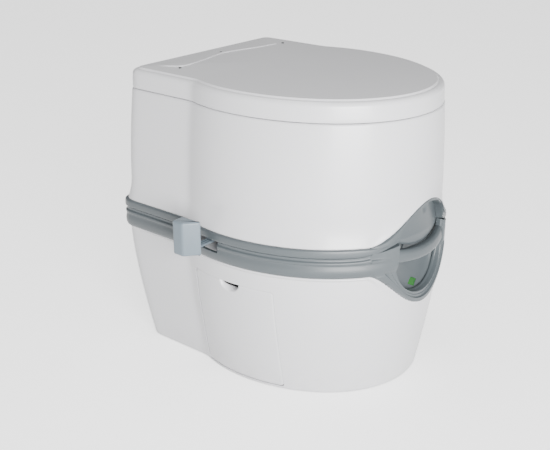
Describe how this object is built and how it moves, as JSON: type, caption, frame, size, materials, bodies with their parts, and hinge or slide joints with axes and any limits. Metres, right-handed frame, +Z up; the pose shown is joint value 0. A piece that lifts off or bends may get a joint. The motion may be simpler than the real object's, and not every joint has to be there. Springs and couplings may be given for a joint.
{
  "type": "portable camp toilet",
  "caption": "Portable flush toilet: lift-off seat unit with lid, bowl and pump over a waste tank with slide valve and paper compartment.",
  "frame": {"origin": "on the floor under the middle of the body, at the underside of the waste tank", "axes": "+Z up, the seated user faces -Y, the valve grip pulls out along -X"},
  "size_m": [0.4244, 0.4472, 0.448],
  "materials": {
    "shell_white": "satin gloss moulded plastic",
    "inner_white": "smooth gloss",
    "belt_grey": "satin",
    "grip_blue_grey": "satin",
    "window_green": "clear green",
    "dial_red": "satin",
    "valve_dark": "satin",
    "seal_rubber": "matt",
    "spring_steel": "bright"
  },
  "bodies": {
    "waste_tank": {"tank_shell": "shell_white", "tank_deck": "shell_white", "belt_lower": "belt_grey", "lobe_rim": "belt_grey", "grip_dish": "belt_grey", "carry_bar": "belt_grey", "level_window": "window_green", "valve_frame": "valve_dark", "lip_seal": "seal_rubber", "vent_spring": "spring_steel", "spout_recess": "shell_white", "roll_compartment": "inner_white", "door_pins": "spring_steel"},
    "level_gauge": {"level_float": "inner_white", "level_dial": "dial_red"},
    "valve": {"valve_blade": "valve_dark", "valve_rod": "grip_blue_grey", "valve_grip": "grip_blue_grey"},
    "vent": {"vent_button": "grip_blue_grey"},
    "spout": {"pour_spout": "grip_blue_grey", "spout_seal": "seal_rubber"},
    "spout_cap": {"spout_cap": "belt_grey"},
    "compartment_door": {"roll_door": "shell_white", "roll_cheeks": "shell_white", "roll_pegs": "grip_blue_grey"},
    "seat_unit": {"base_plate": "shell_white", "flush_shell": "shell_white", "belt_upper": "belt_grey", "front_hood": "belt_grey", "recess_plate": "belt_grey", "top_deck": "shell_white", "bowl": "inner_white", "outlet_ring": "belt_grey", "flush_nozzle": "belt_grey", "pump_barrel": "grip_blue_grey", "pump_spring": "spring_steel", "suction_tube": "grip_blue_grey", "filler_neck": "inner_white", "seat_pins": "spring_steel", "lid_pins": "spring_steel"},
    "pump": {"pump_piston": "belt_grey"},
    "filler_cap": {"filler_cap": "belt_grey"},
    "seat": {"seat": "inner_white", "seat_bumpers": "seal_rubber"},
    "lid": {"lid": "shell_white"}
  },
  "joints": [
    {"name": "unit_lift", "type": "slide", "parent": "waste_tank", "child": "seat_unit", "axis": [0, 0, 1], "range_m": [0, 0.25]},
    {"name": "valve_slide", "type": "slide", "parent": "waste_tank", "child": "valve", "axis": [-1, 0, 0], "range_m": [-0.016, 0.08]},
    {"name": "level_swing", "type": "hinge", "parent": "waste_tank", "child": "level_gauge", "pos_m": [0.026, -0.166, 0.1645], "axis": [0, -1, 0], "range_deg": [0, 45]},
    {"name": "vent_press", "type": "slide", "parent": "waste_tank", "child": "vent", "axis": [0, 0, -1], "range_m": [0, 0.004], "stiffness_N_per_m": 400, "springref_m": -0.001, "deforming": ["vent_spring"]},
    {"name": "spout_swing", "type": "hinge", "parent": "waste_tank", "child": "spout", "pos_m": [-0.012, 0.176, 0.154], "axis": [0, 0, 1], "range_deg": [0, 90]},
    {"name": "cap_turn", "type": "hinge", "parent": "spout", "child": "spout_cap", "pos_m": [0.06, 0.176, 0.154], "axis": [1, 0, 0], "range_deg": [0, 90]},
    {"name": "door_tilt", "type": "hinge", "parent": "waste_tank", "child": "compartment_door", "pos_m": [-0.15, -0.008, 0.062], "axis": [0, -1, 0], "range_deg": [0, 22]},
    {"name": "pump_press", "type": "slide", "parent": "seat_unit", "child": "pump", "axis": [0, 0, -1], "range_m": [0, 0.04], "stiffness_N_per_m": 150, "springref_m": -0.01, "deforming": ["pump_spring"]},
    {"name": "filler_turn", "type": "hinge", "parent": "seat_unit", "child": "filler_cap", "pos_m": [-0.112, 0.165, 0.42], "axis": [0, 0, 1], "range_deg": [0, 90]},
    {"name": "lid_hinge", "type": "hinge", "parent": "seat_unit", "child": "lid", "pos_m": [0, 0.2105, 0.4192], "axis": [-1, 0, 0], "range_deg": [0, 100]},
    {"name": "seat_hinge", "type": "hinge", "parent": "seat_unit", "child": "seat", "pos_m": [0, 0.157, 0.4199], "axis": [-1, 0, 0], "range_deg": [0, 90]}
  ],
  "couplings": [
    {"joint": "seat_hinge", "follows": "lid_hinge", "ratio": 0.88}
  ]
}
